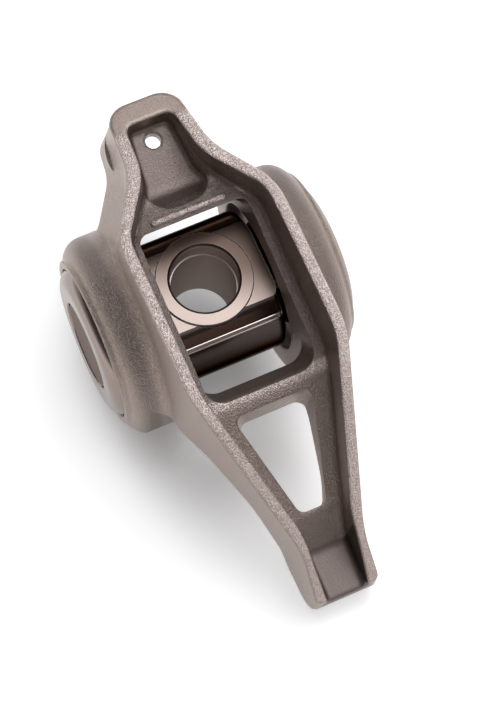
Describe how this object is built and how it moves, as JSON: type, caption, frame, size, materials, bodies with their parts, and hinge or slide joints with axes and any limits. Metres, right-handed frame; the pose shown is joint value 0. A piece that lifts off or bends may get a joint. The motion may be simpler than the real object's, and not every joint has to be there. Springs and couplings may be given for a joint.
{
  "type": "rocker arm",
  "caption": "Cast rocker arm that pivots on a bolted trunnion through needle bearings, with a pushrod seat at one end and a valve shoe at the other.",
  "frame": {"origin": "where the pivot axis crosses the axis of the clamping bolt", "axes": "+Z along the bolt towards its head, +X towards the valve tip, +Y along the pivot axis"},
  "size_m": [0.0658, 0.033, 0.0325],
  "materials": {
    "cast_steel": "satin, fine orange-peel casting skin",
    "machined_steel": "satin, machined",
    "cup_steel": "smooth, drawn",
    "needle_steel": "ground"
  },
  "bodies": {
    "pivot": {"trunnion": "machined_steel"},
    "rocker": {"rocker_body": "cast_steel", "left_bearing_cup": "cup_steel", "right_bearing_cup": "cup_steel"},
    "left_needle_row": {"left_needle_01": "needle_steel", "left_needle_02": "needle_steel", "left_needle_03": "needle_steel", "left_needle_04": "needle_steel", "left_needle_05": "needle_steel", "left_needle_06": "needle_steel", "left_needle_07": "needle_steel", "left_needle_08": "needle_steel", "left_needle_09": "needle_steel", "left_needle_10": "needle_steel", "left_needle_11": "needle_steel", "left_needle_12": "needle_steel", "left_needle_13": "needle_steel", "left_needle_14": "needle_steel", "left_needle_15": "needle_steel", "left_needle_16": "needle_steel", "left_needle_17": "needle_steel", "left_needle_18": "needle_steel", "left_needle_19": "needle_steel"},
    "right_needle_row": {"right_needle_01": "needle_steel", "right_needle_02": "needle_steel", "right_needle_03": "needle_steel", "right_needle_04": "needle_steel", "right_needle_05": "needle_steel", "right_needle_06": "needle_steel", "right_needle_07": "needle_steel", "right_needle_08": "needle_steel", "right_needle_09": "needle_steel", "right_needle_10": "needle_steel", "right_needle_11": "needle_steel", "right_needle_12": "needle_steel", "right_needle_13": "needle_steel", "right_needle_14": "needle_steel", "right_needle_15": "needle_steel", "right_needle_16": "needle_steel", "right_needle_17": "needle_steel", "right_needle_18": "needle_steel", "right_needle_19": "needle_steel"}
  },
  "joints": [
    {"name": "rocker_pivot", "type": "hinge", "parent": "pivot", "child": "rocker", "pos_m": [0, 0, 0], "axis": [0, 1, 0], "range_deg": [-36, 0]},
    {"name": "left_needles_roll", "type": "hinge", "parent": "pivot", "child": "left_needle_row", "pos_m": [0, 0, 0], "axis": [0, 1, 0], "range_deg": [-21, 0]},
    {"name": "right_needles_roll", "type": "hinge", "parent": "pivot", "child": "right_needle_row", "pos_m": [0, 0, 0], "axis": [0, 1, 0], "range_deg": [-21, 0]}
  ],
  "couplings": [
    {"joint": "left_needles_roll", "follows": "rocker_pivot", "ratio": 0.5815},
    {"joint": "right_needles_roll", "follows": "rocker_pivot", "ratio": 0.5815}
  ]
}
